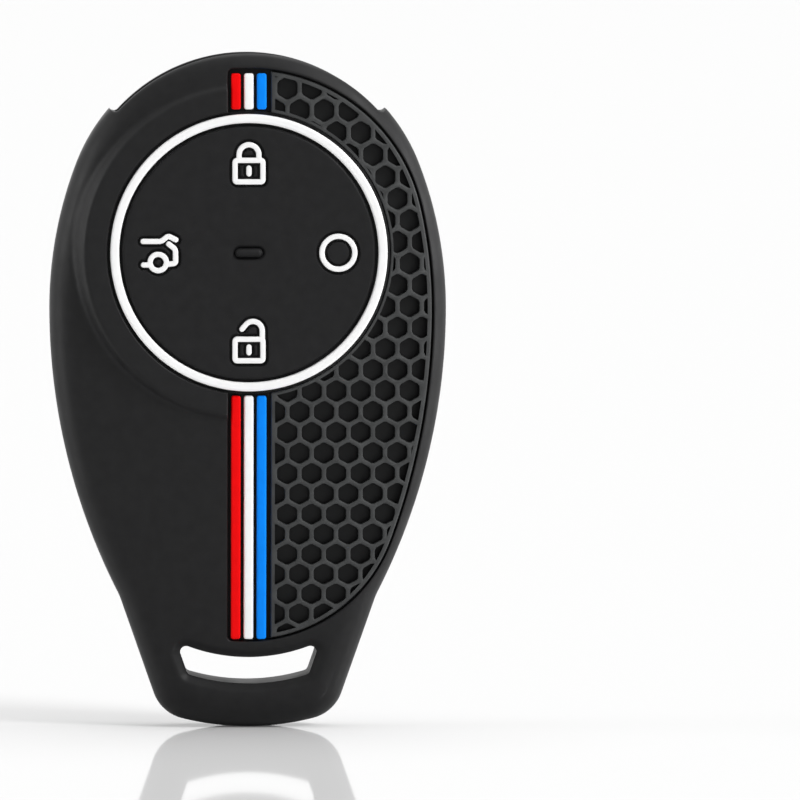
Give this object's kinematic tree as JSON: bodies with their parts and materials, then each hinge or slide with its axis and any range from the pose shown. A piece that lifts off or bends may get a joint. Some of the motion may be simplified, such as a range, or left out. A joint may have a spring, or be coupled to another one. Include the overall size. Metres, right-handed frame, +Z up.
{
  "type": "key fob cover",
  "caption": "Soft cover for an egg-shaped remote key, with an open mouth, a round button field in a white ring, honeycomb grip panels, coloured stripes and a strap slot.",
  "frame": {"origin": "on the floor under the middle of the cover, which stands on its strap tab", "axes": "+Z up from the strap tab to the mouth, +X to the right seen from the front, the button field faces -Y"},
  "size_m": [0.0494, 0.0178, 0.084],
  "materials": {
    "black_silicone": "matte",
    "grip_silicone": "matte",
    "pad_silicone": "matte",
    "white_silicone": "satin",
    "red_silicone": "satin",
    "blue_silicone": "satin"
  },
  "bodies": {
    "cover": {"sleeve": "black_silicone", "front_honeycomb_panel": "grip_silicone", "back_honeycomb_panel": "grip_silicone", "button_pad": "pad_silicone", "ring_inlay": "white_silicone", "indicator_pill": "pad_silicone", "front_upper_stripe_red": "red_silicone", "front_upper_stripe_white": "white_silicone", "front_upper_stripe_blue": "blue_silicone", "front_lower_stripe_red": "red_silicone", "front_lower_stripe_white": "white_silicone", "front_lower_stripe_blue": "blue_silicone", "back_stripe_red": "red_silicone", "back_stripe_white": "white_silicone", "back_stripe_blue": "blue_silicone", "lock_web": "pad_silicone", "unlock_web": "pad_silicone", "trunk_web": "pad_silicone", "circle_web": "pad_silicone"},
    "lock_key": {"lock_button": "pad_silicone", "lock_icon": "white_silicone"},
    "unlock_key": {"unlock_button": "pad_silicone", "unlock_icon": "white_silicone"},
    "trunk_key": {"trunk_button": "pad_silicone", "trunk_icon": "white_silicone"},
    "circle_key": {"circle_button": "pad_silicone", "circle_icon": "white_silicone"}
  },
  "joints": [
    {"name": "lock_press", "type": "slide", "parent": "cover", "child": "lock_key", "axis": [0, 1, 0], "range_m": [0, 0.0005], "stiffness_N_per_m": 2000, "deforming": ["lock_web"]},
    {"name": "unlock_press", "type": "slide", "parent": "cover", "child": "unlock_key", "axis": [0, 1, 0], "range_m": [0, 0.0005], "stiffness_N_per_m": 2000, "deforming": ["unlock_web"]},
    {"name": "trunk_press", "type": "slide", "parent": "cover", "child": "trunk_key", "axis": [0, 1, 0], "range_m": [0, 0.0005], "stiffness_N_per_m": 2000, "deforming": ["trunk_web"]},
    {"name": "circle_press", "type": "slide", "parent": "cover", "child": "circle_key", "axis": [0, 1, 0], "range_m": [0, 0.0005], "stiffness_N_per_m": 2000, "deforming": ["circle_web"]}
  ]
}
